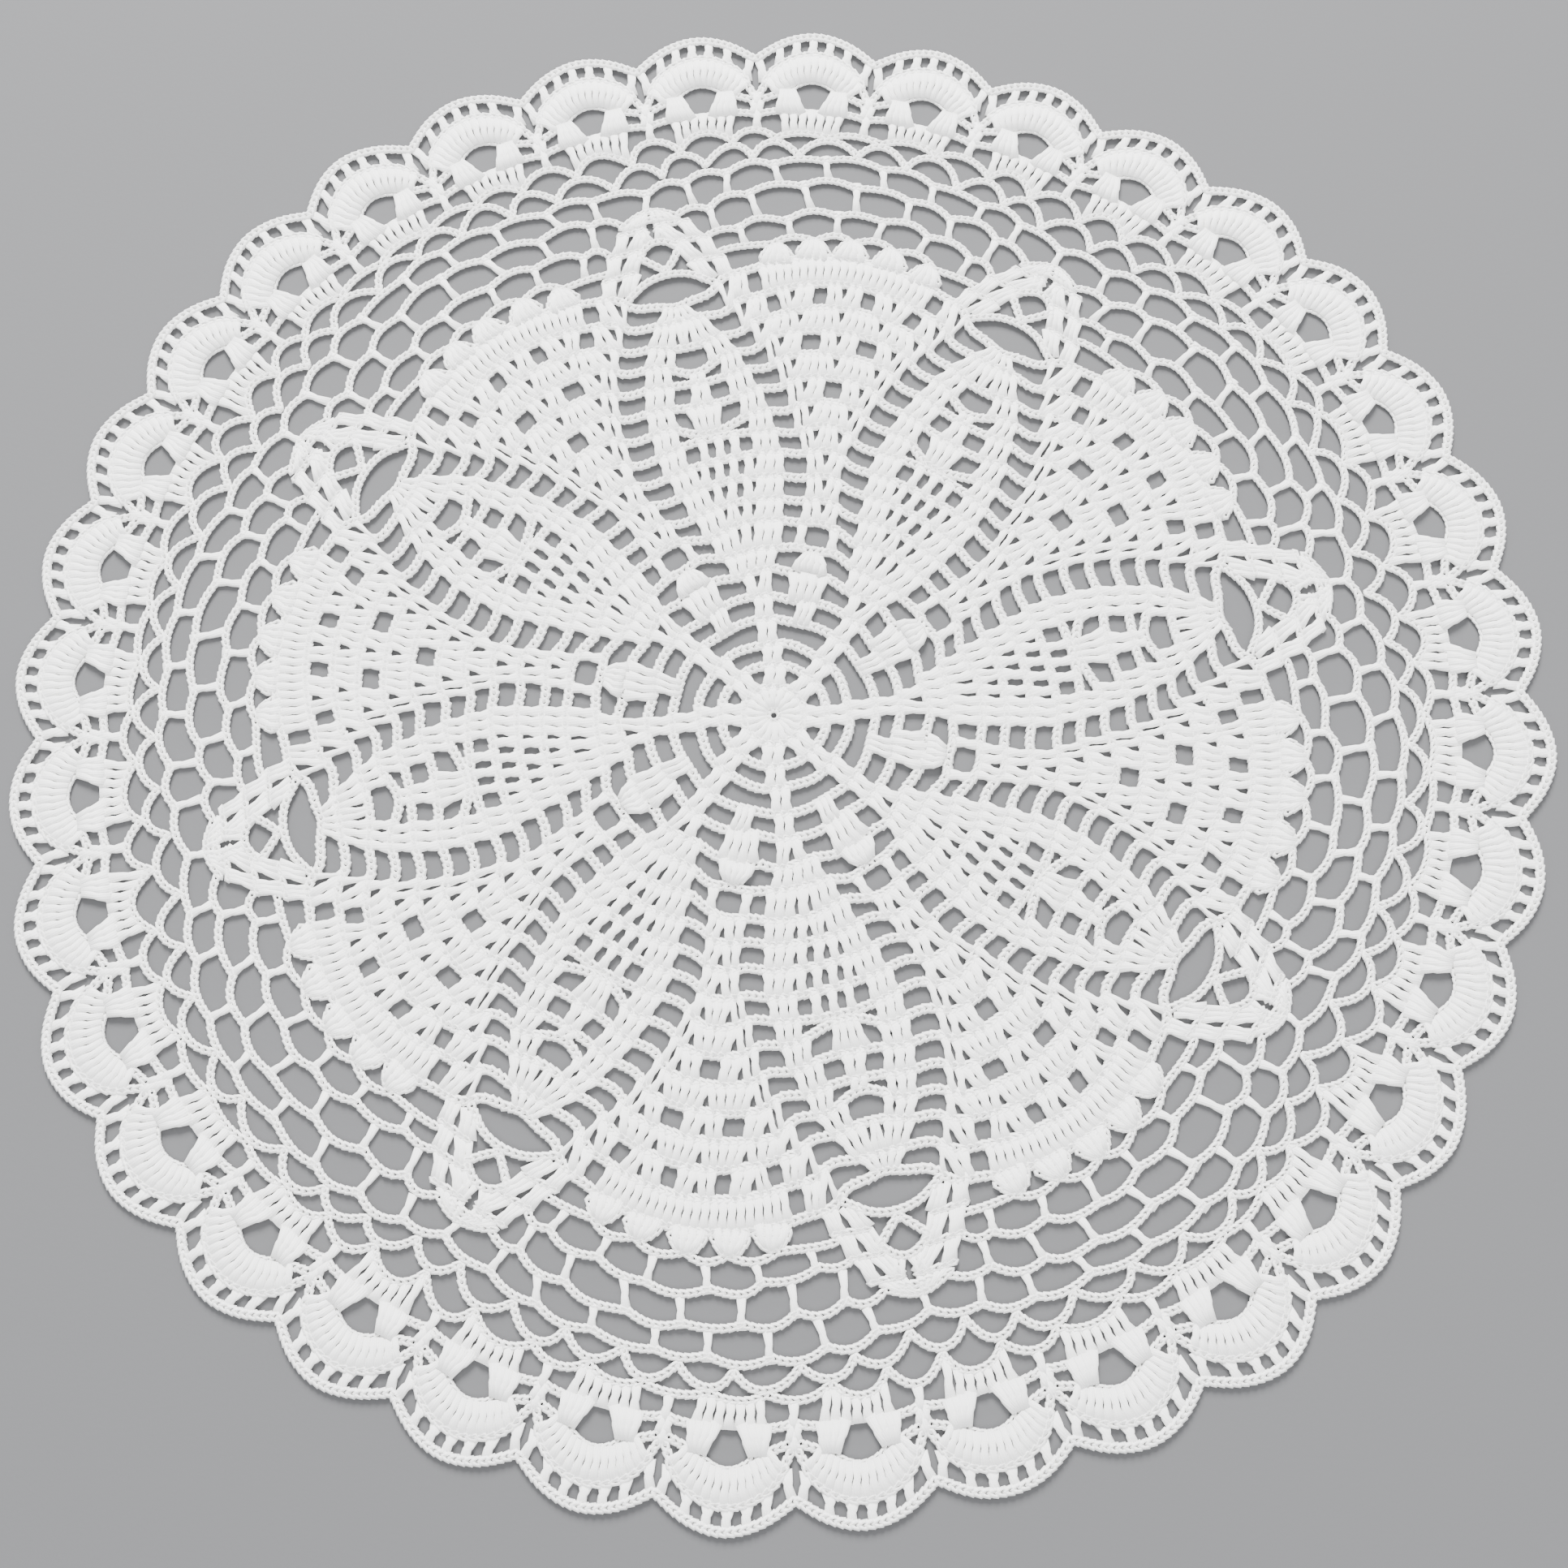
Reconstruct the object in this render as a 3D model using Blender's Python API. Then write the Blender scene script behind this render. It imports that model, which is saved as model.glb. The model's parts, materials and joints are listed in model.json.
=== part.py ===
"""A round crocheted lace doily, worked in rounds from one cotton thread and lying flat.

Metres, +Z up. The origin lies under the middle of the doily, on the surface it rests on.
Eight curved leaves turn about the middle, each ending in a wide eye. Fans stand between
the leaves, a net of loops surrounds them, and thirty-six scallops make the edge.

Every place is given as (degrees, reach): degrees clockwise from a leaf's eye, or from the
middle of a scallop, and reach as a share of RADIUS. The net and the ladders of gaps beside
the leaves are cut at up to twice the pitch of the crochet, which keeps them under 300 gaps.
"""

from math import cos, pi, radians, sin

import bmesh
import bpy
import numpy as np
from mathutils import Vector
from mathutils.geometry import delaunay_2d_cdt

# Driving dimensions.
RADIUS = 0.165  # from the middle to the tip of an even scallop
THICKNESS = 0.0018  # the flat fabric
RAISED = 0.0008  # how far the leaves and the clusters stand above it
STRAND = 0.0026  # the width of what is left between two gaps
EIGHTHS = 8
SCALLOPS = 36
FIRST_EYE = 16.6  # the direction of the first leaf's eye, in degrees from +X

# How each leaf's eye is pulled round from its even place, in degrees.
EYE_SHIFTS = (-0.2, 0.9, 0.0, -0.4, -0.6, 0.7, 0.3, -0.4)
SHIFTS_FADE = (0.62, 0.86)  # the pull is whole inside the first reach and gone past the second

# How far the edge is pulled out of round.
EDGE_PULL = (
    # direction, reach
    (0, 0.999),
    (25, 0.998),
    (43, 1.007),
    (65, 0.990),
    (92, 1.006),
    (112, 1.003),
    (131, 1.014),
    (158, 0.996),
    (190, 0.987),
    (214, 1.016),
    (243, 0.991),
    (270, 1.001),
    (290, 0.992),
    (312, 1.016),
    (332, 0.993),
    (350, 0.992),
)

# The line down the middle of a leaf.
LEAF_LINE = (
    # reach, clockwise
    (0.14, 8.3),
    (0.21, 7.0),
    (0.28, 4.6),
    (0.34, 3.0),
    (0.405, 2.0),
    (0.47, 1.0),
    (0.56, 0.3),
    (0.62, 0.0),
)
LEAF_RIDGE = (0.16, 0.23, 0.295, 0.36, 0.42, 0.465, 0.56, 0.59)  # reaches of its raised points

# The ladders of gaps that run out along both sides of a leaf, two rounds to a gap.
LADDERS = (
    # inner reach, its left, its right, outer reach, its left, its right
    (0.198, -10.0, -1.6, 0.261, -12.4, -6.4),
    (0.269, -13.1, -7.3, 0.322, -15.3, -8.6),
    (0.332, -16.2, -9.8, 0.384, -16.6, -10.7),
    (0.394, -15.5, -9.8, 0.451, -14.3, -9.0),
    (0.461, -13.8, -8.5, 0.510, -11.9, -6.7),
    (0.521, -10.8, -5.8, 0.572, -8.7, -3.9),
    (0.203, 14.6, 20.6, 0.262, 16.8, 21.8),
    (0.272, 16.4, 21.8, 0.327, 16.0, 22.0),
    (0.339, 15.8, 21.4, 0.394, 14.3, 20.2),
    (0.405, 13.7, 18.5, 0.455, 12.0, 17.0),
    (0.466, 10.5, 15.6, 0.512, 8.6, 13.2),
    (0.523, 6.9, 11.7, 0.577, 4.5, 8.5),
)
LADDER_ARCH = 0.004  # how far a ladder gap's ends bow outward

# Single gaps of an eighth, corner by corner.
EYE = (
    # clockwise, reach
    (-5.1, 0.619),
    (-2.6, 0.609),
    (0.0, 0.605),
    (2.6, 0.609),
    (4.9, 0.619),
    (3.0, 0.637),
    (0.0, 0.646),
    (-3.0, 0.637),
)
HEART_OF_LEAF = (
    # clockwise, reach
    (0.9, 0.490),
    (3.3, 0.503),
    (3.6, 0.520),
    (0.8, 0.529),
    (-2.0, 0.520),
    (-1.6, 0.503),
)
DIAMOND = (
    # clockwise, reach
    (0.0, 0.670),
    (2.1, 0.686),
    (0.1, 0.698),
    (-2.2, 0.685),
)
ABOVE_BUD = (-16.9, 0.2435, 0.0176)  # clockwise, reach and radius of the round gap over a bud
ABOVE_BUD_CORNERS = 6

# The net: each round is staggered by half a loop from the one inside it.
NET_ROUNDS = (
    # reach of the loops' tops, loops in an eighth, first and last wall, clockwise
    (0.7373, 5, 5.5, 39.5),
    (0.7947, 6, 0.0, 45.0),
    (0.8520, 6, 3.75, 48.75),
)
NET_START = 0.680  # the reach of the row of clusters that the net grows from
LOOP_DIP = 0.018  # how far a loop falls from its top to its foot
LOOP_TOP = 0.45  # the flat of a loop's top, as a share of its width

# The scallops, in degrees from the middle of one.
SCALLOP_TIP = 1.0
SCALLOP_VALLEY = 0.955
SCALLOP_ROUNDNESS = 1.8
SCALLOP_STEPS = (-5.0, -4.0, -2.2, 0.0, 2.2, 4.0)
HEART = (
    # degrees, reach
    (-0.55, 0.885),
    (-1.75, 0.902),
    (-0.8, 0.916),
    (0.8, 0.916),
    (1.75, 0.902),
    (0.55, 0.885),
)

# Raised clusters: degrees, reach, half width, half length.
BUD = (-16.4, 0.178, 0.020, 0.026)
FAN_TEETH = tuple((-22.5 + step, 0.664, 0.019, 0.011) for step in (-9.1, -4.6, 0.0, 4.6, 9.1))
SCALLOP_CLUSTERS = tuple((side * 2.3, 0.888, 0.010, 0.011) for side in (-1, 1))

COTTON = (0.88, 0.88, 0.85, 1.0)
COTTON_ROUGHNESS = 0.85
SAME_POINT = 1e-7  # points nearer than this count as one


def eighth_direction(number, clockwise):
    """The direction, in degrees from +X, of a place in one eighth of the doily."""
    return FIRST_EYE + number * 360 / EIGHTHS - clockwise


def scallop_direction(number, degrees):
    return number * 360 / SCALLOPS + degrees


def round_trip(columns, direction):
    """A value read off a table of (direction, value) that closes on itself."""
    directions, values = zip(*columns)
    return float(np.interp(direction, directions, values, period=360))


def place(direction, reach):
    """The point at this direction and reach, pulled as unevenly as the real cloth."""
    eyes = [(eighth_direction(i, 0) % 360, shift) for i, shift in enumerate(EYE_SHIFTS)]
    fade = float(np.interp(reach, SHIFTS_FADE, (1, 0)))
    angle = radians(direction + fade * round_trip(eyes, direction))
    pull = 1 + (round_trip(EDGE_PULL, direction) - 1) * reach**2
    return Vector((cos(angle), sin(angle))) * (reach * pull * RADIUS)


def ladder_gap(number, row):
    """One gap of a ladder: six corners, with the middles of its two ends bowed."""
    inner, inner_left, inner_right, outer, outer_left, outer_right = row
    corners = (
        (inner_left, inner),
        ((inner_left + inner_right) / 2, inner - LADDER_ARCH),
        (inner_right, inner),
        (outer_right, outer),
        ((outer_left + outer_right) / 2, outer + LADDER_ARCH),
        (outer_left, outer),
    )
    return [place(eighth_direction(number, a), reach) for a, reach in corners]


def round_gap(number, clockwise, reach, radius, corners):
    """A round gap about a place in an eighth."""
    spots = []
    for i in range(corners):
        turn = 2 * pi * i / corners
        along = reach + radius * cos(turn)
        across = np.degrees(radius * sin(turn) / reach)
        spots.append(place(eighth_direction(number, clockwise + across), along))
    return spots


def net_gap(number, middle, half, below, top):
    """The gap inside one loop: a pointed foot between two loops of the round inside it,
    two straight walls and a rounded top."""
    strand = STRAND / RADIUS
    side = half - np.degrees(strand / 2 / top)
    corners = (
        (0, below - LOOP_DIP + strand),
        (side, below + strand),
        (side, top - LOOP_DIP),
        (side * LOOP_TOP, top),
        (-side * LOOP_TOP, top),
        (-side, top - LOOP_DIP),
        (-side, below + strand),
    )
    return [place(eighth_direction(number, middle + a), reach) for a, reach in corners]


def net_gaps(number):
    gaps = []
    below = NET_START
    for top, loops, first, last in NET_ROUNDS:
        half = (last - first) / loops / 2
        for loop in range(loops):
            gaps.append(net_gap(number, first + half * (2 * loop + 1), half, below, top))
        below = top
    return gaps


def gaps_of_eighth(number):
    """Every gap cut in one eighth of the doily, inside the scalloped edging."""
    gaps = [
        [place(eighth_direction(number, a), reach) for a, reach in corners]
        for corners in (EYE, HEART_OF_LEAF, DIAMOND)
    ]
    gaps.append(round_gap(number, *ABOVE_BUD, ABOVE_BUD_CORNERS))
    gaps += [ladder_gap(number, row) for row in LADDERS]
    return gaps + net_gaps(number)


def scallop_reach(degrees):
    fall = abs(degrees * SCALLOPS / 180) ** SCALLOP_ROUNDNESS
    return SCALLOP_TIP - (SCALLOP_TIP - SCALLOP_VALLEY) * fall


def outline():
    """The scalloped edge, anticlockwise."""
    return [
        place(scallop_direction(number, step), scallop_reach(step))
        for number in range(SCALLOPS)
        for step in SCALLOP_STEPS
    ]


def hearts():
    return [
        [place(scallop_direction(number, step), reach) for step, reach in HEART]
        for number in range(SCALLOPS)
    ]


def cluster(direction, reach, half_width, half_length):
    """A raised cluster of stitches: four points on the fabric round a raised one."""
    sweep = np.degrees(half_width / reach)
    low = [
        place(direction - sweep, reach),
        place(direction + sweep, reach),
        place(direction, reach - half_length),
        place(direction, reach + half_length),
    ]
    return [(spot, 0.0) for spot in low] + [(place(direction, reach), RAISED)]


def relief():
    """The points inside the top face: (place, height above the fabric)."""
    reaches, turns = zip(*LEAF_LINE)
    points = []
    for number in range(EIGHTHS):
        for reach in LEAF_RIDGE:
            direction = eighth_direction(number, np.interp(reach, reaches, turns))
            points.append((place(direction, reach), RAISED))
        for clockwise, *sizes in (BUD, *FAN_TEETH):
            points += cluster(eighth_direction(number, clockwise), *sizes)
    for number in range(SCALLOPS):
        for degrees, *sizes in SCALLOP_CLUSTERS:
            points += cluster(scallop_direction(number, degrees), *sizes)
    return points


def filled(points, loops):
    """The triangles between the first loop and all the others, as indices of points."""
    inside_with_holes = 2
    borders = [[int(corner) for corner in loop] for loop in loops]
    result = delaunay_2d_cdt(points, [], borders, inside_with_holes, SAME_POINT)
    sources = result[3]
    return [[sources[corner][0] for corner in face] for face in result[2]]


def cotton():
    material = bpy.data.materials.new("white cotton")
    material.use_nodes = True
    material.diffuse_color = COTTON
    shader = material.node_tree.nodes["Principled BSDF"]
    shader.inputs["Base Color"].default_value = COTTON
    shader.inputs["Roughness"].default_value = COTTON_ROUGHNESS
    shader.inputs["Metallic"].default_value = 0.0
    return material


def doily():
    """The cloth as one solid: a flat underside, walls round every gap, a raised top."""
    rings = [outline()]
    for number in range(EIGHTHS):
        rings += gaps_of_eighth(number)
    rings += hearts()
    edge_points = [point for ring in rings for point in ring]
    starts = np.cumsum([0] + [len(ring) for ring in rings])
    loops = [range(first, last) for first, last in zip(starts, starts[1:])]
    raised = relief()
    bottom = filled(edge_points, loops)
    top = filled(edge_points + [point for point, _ in raised], loops)

    count = len(edge_points)
    spots = [(p.x, p.y, 0.0) for p in edge_points]
    spots += [(p.x, p.y, THICKNESS) for p in edge_points]
    spots += [(p.x, p.y, THICKNESS + height) for p, height in raised]
    faces = [face[::-1] for face in bottom]
    faces += [[corner + count for corner in face] for face in top]
    for loop in loops:
        for i in range(len(loop)):
            a, b = loop[i - 1], loop[i]
            faces.append((a, b, b + count, a + count))

    spots = np.array(spots)
    spots[:, :2] -= (spots[:, :2].min(axis=0) + spots[:, :2].max(axis=0)) / 2
    mesh = bpy.data.meshes.new("doily")
    mesh.from_pydata(spots.tolist(), [], faces)
    work = bmesh.new()
    work.from_mesh(mesh)
    bmesh.ops.recalc_face_normals(work, faces=work.faces)
    work.to_mesh(mesh)
    work.free()
    mesh.materials.append(cotton())
    cloth = bpy.data.objects.new("doily", mesh)
    bpy.context.collection.objects.link(cloth)
    return cloth


for leftover in list(bpy.data.objects):
    bpy.data.objects.remove(leftover)
doily()
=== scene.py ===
# %% [markdown]
# # A crocheted lace doily
# A doily of this kind is worked in rounds from one cotton thread: a ring in the
# middle, eight curved leaves, fans between them, a net of loops and thirty-six
# scallops. It could be one flat sheet with holes painted on it, but lace is looked at
# through its holes and over its stitches. Here every stitch is real: one chain link
# and one post are modelled, and copies of them are laid along a chart.

import json
from math import radians

import bpy
import numpy as np
from mathutils import Matrix, Vector

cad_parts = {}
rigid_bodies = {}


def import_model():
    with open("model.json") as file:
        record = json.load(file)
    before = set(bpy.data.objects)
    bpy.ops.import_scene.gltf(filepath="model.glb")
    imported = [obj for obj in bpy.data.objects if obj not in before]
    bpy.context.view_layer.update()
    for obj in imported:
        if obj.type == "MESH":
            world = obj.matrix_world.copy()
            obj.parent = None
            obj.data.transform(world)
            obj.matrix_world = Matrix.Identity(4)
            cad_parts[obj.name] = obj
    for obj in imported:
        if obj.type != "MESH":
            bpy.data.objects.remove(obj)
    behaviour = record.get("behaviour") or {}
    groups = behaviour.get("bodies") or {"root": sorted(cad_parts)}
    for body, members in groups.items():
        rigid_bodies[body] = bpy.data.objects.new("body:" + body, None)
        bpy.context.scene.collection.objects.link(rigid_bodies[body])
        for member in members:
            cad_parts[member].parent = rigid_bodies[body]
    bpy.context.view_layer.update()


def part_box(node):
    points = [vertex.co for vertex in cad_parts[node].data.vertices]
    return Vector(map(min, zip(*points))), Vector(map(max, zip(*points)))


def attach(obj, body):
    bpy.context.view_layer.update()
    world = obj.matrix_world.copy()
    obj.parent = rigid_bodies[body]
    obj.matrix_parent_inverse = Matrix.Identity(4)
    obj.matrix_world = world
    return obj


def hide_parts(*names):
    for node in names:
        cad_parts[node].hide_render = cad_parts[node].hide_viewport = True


for leftover in list(bpy.data.objects):
    bpy.data.objects.remove(leftover)
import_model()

# %% [markdown]
# ## The ground plan
# A crocheter's chart gives places by round and by angle. Each place here is (degrees
# clockwise from a leaf's eye, reach), with reach as a share of the doily's radius. A
# hand-made doily is never a true circle: its edge is pulled out in some directions and
# its leaves sit a little off their even places. One function bends every place the
# same way, so stitches that meet on the chart still meet on the cloth.

# %% The uneven circle
LEAVES = 8
REPEAT = 360 / LEAVES  # from one leaf to the next, in degrees
SCALLOPS = 36
SCALLOP_TURN = 360 / SCALLOPS
FIRST_EYE = 16.6  # the direction of the first leaf's eye, in degrees from +X
EYE_SHIFTS = (-0.2, 0.9, 0.0, -0.4, 0.4, 0.7, 0.3, -0.4)
EDGE_PULL = (
    # direction, how far the edge is pulled
    (0, 0.999),
    (25, 0.998),
    (43, 1.007),
    (65, 0.990),
    (92, 1.006),
    (112, 1.003),
    (131, 1.014),
    (158, 0.996),
    (190, 0.987),
    (214, 1.016),
    (243, 0.991),
    (270, 1.001),
    (290, 0.992),
    (312, 1.016),
    (332, 0.993),
    (350, 0.992),
)
NET_TURN = 0.9  # how far the net is turned to meet the scallops, in degrees


def plane(direction, reach):
    """Points of the uneven cloth, in shares of its radius, for arrays of places."""
    direction = np.asarray(direction, float)
    reach = np.asarray(reach, float)
    eyes = FIRST_EYE + np.arange(LEAVES) * REPEAT
    shift = np.interp(direction, eyes, EYE_SHIFTS, period=360)
    shift *= np.interp(reach, (0.62, 0.86), (1, 0))
    toward, pulls = np.transpose(EDGE_PULL)
    pull = 1 + (np.interp(direction, toward, pulls, period=360) - 1) * reach**2
    angle = np.radians(direction + shift)
    return np.stack([np.cos(angle), np.sin(angle)], -1) * (reach * pull)[..., None]


# %% The size, from the solid
SCALLOP_DEPTH = 0.045  # how far the edge falls back between two scallops
rim_steps = np.array((-5.0, -4.0, -2.2, 0.0, 2.2, 4.0))
rim_reaches = 1 - SCALLOP_DEPTH * np.abs(rim_steps / (SCALLOP_TURN / 2)) ** 1.8
edge = np.concatenate([plane(SCALLOP_TURN * n + rim_steps, rim_reaches) for n in range(SCALLOPS)])
edge_low, edge_high = edge.min(axis=0), edge.max(axis=0)
box_low, box_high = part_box("doily")
RADIUS = (box_high.x - box_low.x) / (edge_high[0] - edge_low[0])
MIDDLE = -(edge_low + edge_high) / 2 * RADIUS
print(f"radius {1000 * RADIUS:.2f} mm, middle at", np.round(1000 * MIDDLE, 2), "mm")


# %% Places on the chart
def wander(direction, reach):
    """The small unevenness of loops made by hand, strongest in the net."""
    strength = np.interp(reach, (0.66, 0.72, 0.83, 0.87), (0, 1, 1, 0))
    turn = np.radians(direction)
    around = 0.30 * np.sin(13 * turn + 31 * reach) + 0.22 * np.sin(29 * turn - 47 * reach)
    outward = 0.0022 * np.sin(17 * turn + 40 * reach + 1) + 0.0014 * np.sin(41 * turn + 2)
    return strength * around, strength * outward


def leaf_chart(number, clockwise, reach):
    """Directions and reaches of places given from the eye of one leaf."""
    reach = np.asarray(reach, float)
    turned = NET_TURN * np.interp(reach, (0.72, 0.86), (0, 1))
    direction = FIRST_EYE + number * REPEAT - np.asarray(clockwise, float) + turned
    around, outward = wander(direction, reach)
    return direction + around, reach + outward


def leaf_place(number, clockwise, reach):
    """Places given from the eye of one leaf, in metres."""
    return plane(*leaf_chart(number, clockwise, reach)) * RADIUS + MIDDLE


def scallop_place(number, degrees, reach):
    """Places given from the middle of one scallop, in metres."""
    direction = number * SCALLOP_TURN + np.asarray(degrees, float)
    return plane(direction, reach) * RADIUS + MIDDLE


print("first eye", np.round(1000 * leaf_place(0, 0.0, 0.622), 1), "mm")

# %% [markdown]
# ## The chain link
# A crochet chain is a row of loops, each drawn up through the one before. From above
# it shows as a plait of small Vs: each loop is narrow where it comes through, rises
# over the head of the last loop and opens out. A torus with very few sides is the
# closest primitive. Its sides are moved in rather than scaled, which keeps the thread
# round, and all of it but its head is lifted, so that it lies over the last loop.

# %% Working in edit mode
YARN = 0.00116  # the thickness of the thread as it lies in a loop


def clear_selection():
    bpy.ops.object.select_all(action="DESELECT")


def pick(test):
    """Selects the points of the open mesh whose place passes the test."""
    bpy.ops.mesh.select_mode(type="VERT")
    bpy.ops.mesh.select_all(action="DESELECT")
    bpy.ops.object.mode_set(mode="OBJECT")
    for point in bpy.context.active_object.data.vertices:
        point.select = bool(test(point.co))
    bpy.ops.object.mode_set(mode="EDIT")


def nudge(test, by):
    """Moves the points that pass the test."""
    pick(test)
    bpy.ops.transform.translate(value=by)


def resize(test, by):
    """Scales the points that pass the test about their middle."""
    pick(test)
    bpy.ops.transform.resize(value=by)


def add_loop(name, rings, sides, reach, thread, turn=(0.0, 0.0, 0.0)):
    """A torus, with one of its rings on +Y, ready in edit mode."""
    clear_selection()
    bpy.ops.mesh.primitive_torus_add(
        major_segments=rings,
        minor_segments=sides,
        major_radius=reach,
        minor_radius=thread,
        rotation=turn,
    )
    loop = bpy.context.active_object
    loop.name = name
    bpy.ops.object.transform_apply(location=True, rotation=True, scale=True)
    bpy.ops.object.mode_set(mode="EDIT")
    return loop


# %% Model the link
LINK_REACH = 0.00096
SIDE_IN = 0.00031  # how far the loop's sides move in
TAIL_IN = 0.00024  # how much further they move in where it comes through
ARCH = 0.00022  # how far the loop rises over the last one
link = add_loop("link", 6, 4, LINK_REACH, YARN / 2, turn=(0, 0, radians(90)))
side = LINK_REACH * 0.4
nudge(lambda p: p.x > side, (-SIDE_IN, 0, 0))
nudge(lambda p: p.x < -side, (SIDE_IN, 0, 0))
nudge(lambda p: p.x > 0.0001 and p.y < -side / 3, (-TAIL_IN, 0, 0))
nudge(lambda p: p.x < -0.0001 and p.y < -side / 3, (TAIL_IN, 0, 0))
nudge(lambda p: p.y < 0.00080, (0, 0, ARCH))
bpy.ops.object.mode_set(mode="OBJECT")
print("link", len(link.data.polygons), "faces")

# %% [markdown]
# ## The post
# A double crochet is a tall stitch of several strands lying close, wide where it grips
# the rows below and above and drawn in at its waist by the thread wrapped round it. Side
# by side, posts show as a white cloth with one short slanting slit between each two. A
# cube cut twice each way has just enough points for that: its corners are pulled in to
# make it round, its two middle rings become the waist, and its ends are spread.

# %% Model the post
POST_HALVES = (0.00098, 0.0029, 0.00062)  # half its width, length and height
POST_TWIST = 0.00010  # how far its waist slants
clear_selection()
bpy.ops.mesh.primitive_cube_add(size=2)
post = bpy.context.active_object
post.name = "post"
bpy.ops.object.mode_set(mode="EDIT")
bpy.ops.mesh.subdivide(number_cuts=2)
bpy.ops.mesh.select_all(action="SELECT")
bpy.ops.transform.resize(value=POST_HALVES)
resize(lambda p: abs(p.x) > 0.0009 and abs(p.z) > 0.0006, (0.80, 1, 0.72))
resize(lambda p: abs(p.y) < 0.0015, (0.84, 0.36, 1.10))
resize(lambda p: abs(p.y) > 0.0025, (1.24, 1, 0.85))
nudge(lambda p: 0 < p.y < 0.001, (POST_TWIST, 0, 0))
nudge(lambda p: -0.001 < p.y < 0, (-POST_TWIST, 0, 0))
bpy.ops.mesh.select_all(action="SELECT")
bpy.ops.uv.cube_project(cube_size=0.0074)
bpy.ops.object.mode_set(mode="OBJECT")
print("post", len(post.data.polygons), "faces")


# %% Read a stitch
class Stitch:
    """A modelled stitch as arrays. Its own Y runs from 0 at its tail to 1 at its tip."""

    def __init__(self, piece):
        mesh = piece.data
        points = np.empty(len(mesh.vertices) * 3)
        mesh.vertices.foreach_get("co", points)
        points = points.reshape(-1, 3)
        long = np.ptp(points[:, 1])
        points[:, 1] = (points[:, 1] - points[:, 1].min()) / long
        points[:, 2] -= points[:, 2].min()
        corners = np.empty(len(mesh.loops), np.int32)
        mesh.loops.foreach_get("vertex_index", corners)
        uvs = np.empty(len(mesh.loops) * 2, np.float32)
        mesh.uv_layers.active.data.foreach_get("uv", uvs)
        self.points, self.corners, self.uvs = points, corners, uvs
        self.long, self.wide = long, np.ptp(points[:, 0])
        bpy.data.objects.remove(piece)


LINK = Stitch(link)
POST = Stitch(post)
print(f"link {1000 * LINK.long:.2f} x {1000 * LINK.wide:.2f} mm")
print(f"post {1000 * POST.long:.2f} x {1000 * POST.wide:.2f} mm")

# %% [markdown]
# ## Laying stitches
# Fifteen thousand stitches would be slow as objects, so each part of the doily is one
# mesh. A stitch is copied by stretching it from a tail to a tip, in arrays, and all
# the copies of a part are gathered at the end. A taper makes a post narrow at its foot
# or at its head, as where several grow out of one stitch.

# %% Copy stitches between points
work = {}  # for each part, what was laid: the stitch, its copies' points and their number


def lay(part, stitch, tails, tips, foot=1.0, head=1.0, height=1.0, lift=0.0, bow=0.0):
    """Copies of the stitch for a part of the doily, one for each tail and tip."""
    tails, tips = np.atleast_2d(tails), np.atleast_2d(tips)
    count = len(tails)
    foot, head, bow = (np.broadcast_to(value, count)[:, None] for value in (foot, head, bow))
    along = tips - tails
    ahead = along / np.linalg.norm(along, axis=1, keepdims=True)
    aside = np.stack([ahead[:, 1], -ahead[:, 0]], -1)
    x, y, z = stitch.points.T
    wide = x * (foot + (head - foot) * y) + bow * 4 * y * (1 - y)
    flat = tails[:, None] + y[None, :, None] * along[:, None] + wide[..., None] * aside[:, None]
    up = np.broadcast_to(z * height + lift, wide.shape)
    points = np.concatenate([flat, up[..., None]], -1)
    work.setdefault(part, []).append((stitch, points.reshape(-1, 3), count))


def tally(part, stitch):
    """How many of a stitch a part holds so far."""
    return sum(count for kind, _, count in work[part] if kind is stitch)


# %% A plait along a path
PLAIT_STEP = 0.00150  # from one link of a chain to the next


def smooth(points):
    """A soft curve through the points, with six steps from each to the next."""
    points = np.asarray(points, float)
    before, after = 2 * points[:1] - points[1:2], 2 * points[-1:] - points[-2:-1]
    line = np.concatenate([before, points, after])
    a, b, c, d = (p[:, None] for p in (line[:-3], line[1:-2], line[2:-1], line[3:]))
    t = (np.arange(6) / 6)[None, :, None]
    curve = 2 * b + (c - a) * t
    curve = curve + (2 * a - 5 * b + 4 * c - d) * t**2 + (3 * b - a - 3 * c + d) * t**3
    return np.concatenate([0.5 * curve.reshape(-1, 2), points[-1:]])


def plait(part, path, closed=False, step=PLAIT_STEP, width=1.0, height=1.0, lift=0.0):
    """A row of chain links along a path in metres, each one reaching over the next."""
    path = np.asarray(path, float)
    if closed:
        path = np.concatenate([path, path[:1]])
    pieces = np.linalg.norm(np.diff(path, axis=0), axis=1)
    run = np.concatenate([[0], np.cumsum(pieces)])
    count = max(1, round(run[-1] / step))
    pace = run[-1] / count
    middles = (np.arange(count) + 0.5) * pace
    half = LINK.long / 2 * pace / PLAIT_STEP

    def at(where):
        if closed:
            where = where % run[-1]
        spot = np.stack([np.interp(where, run, path[:, i]) for i in (0, 1)], -1)
        if closed:
            return spot
        past = (where - np.clip(where, 0, run[-1]))[:, None]
        first, last = path[1] - path[0], path[-1] - path[-2]
        heading = np.where(past < 0, first / np.linalg.norm(first), last / np.linalg.norm(last))
        return spot + past * heading

    lay(part, LINK, at(middles - half), at(middles + half), width, width, height, lift)


# %% [markdown]
# ## The rounds of the middle
# Every round ends in a line of stitch heads that runs right round the doily. The line
# dips in at the middle rounds' ladders and swings out over the fans, so it is charted
# as a table of places for one leaf and repeated eight times. Posts then stand between
# one line and the next, leaning with the leaf's two sides.

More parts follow.
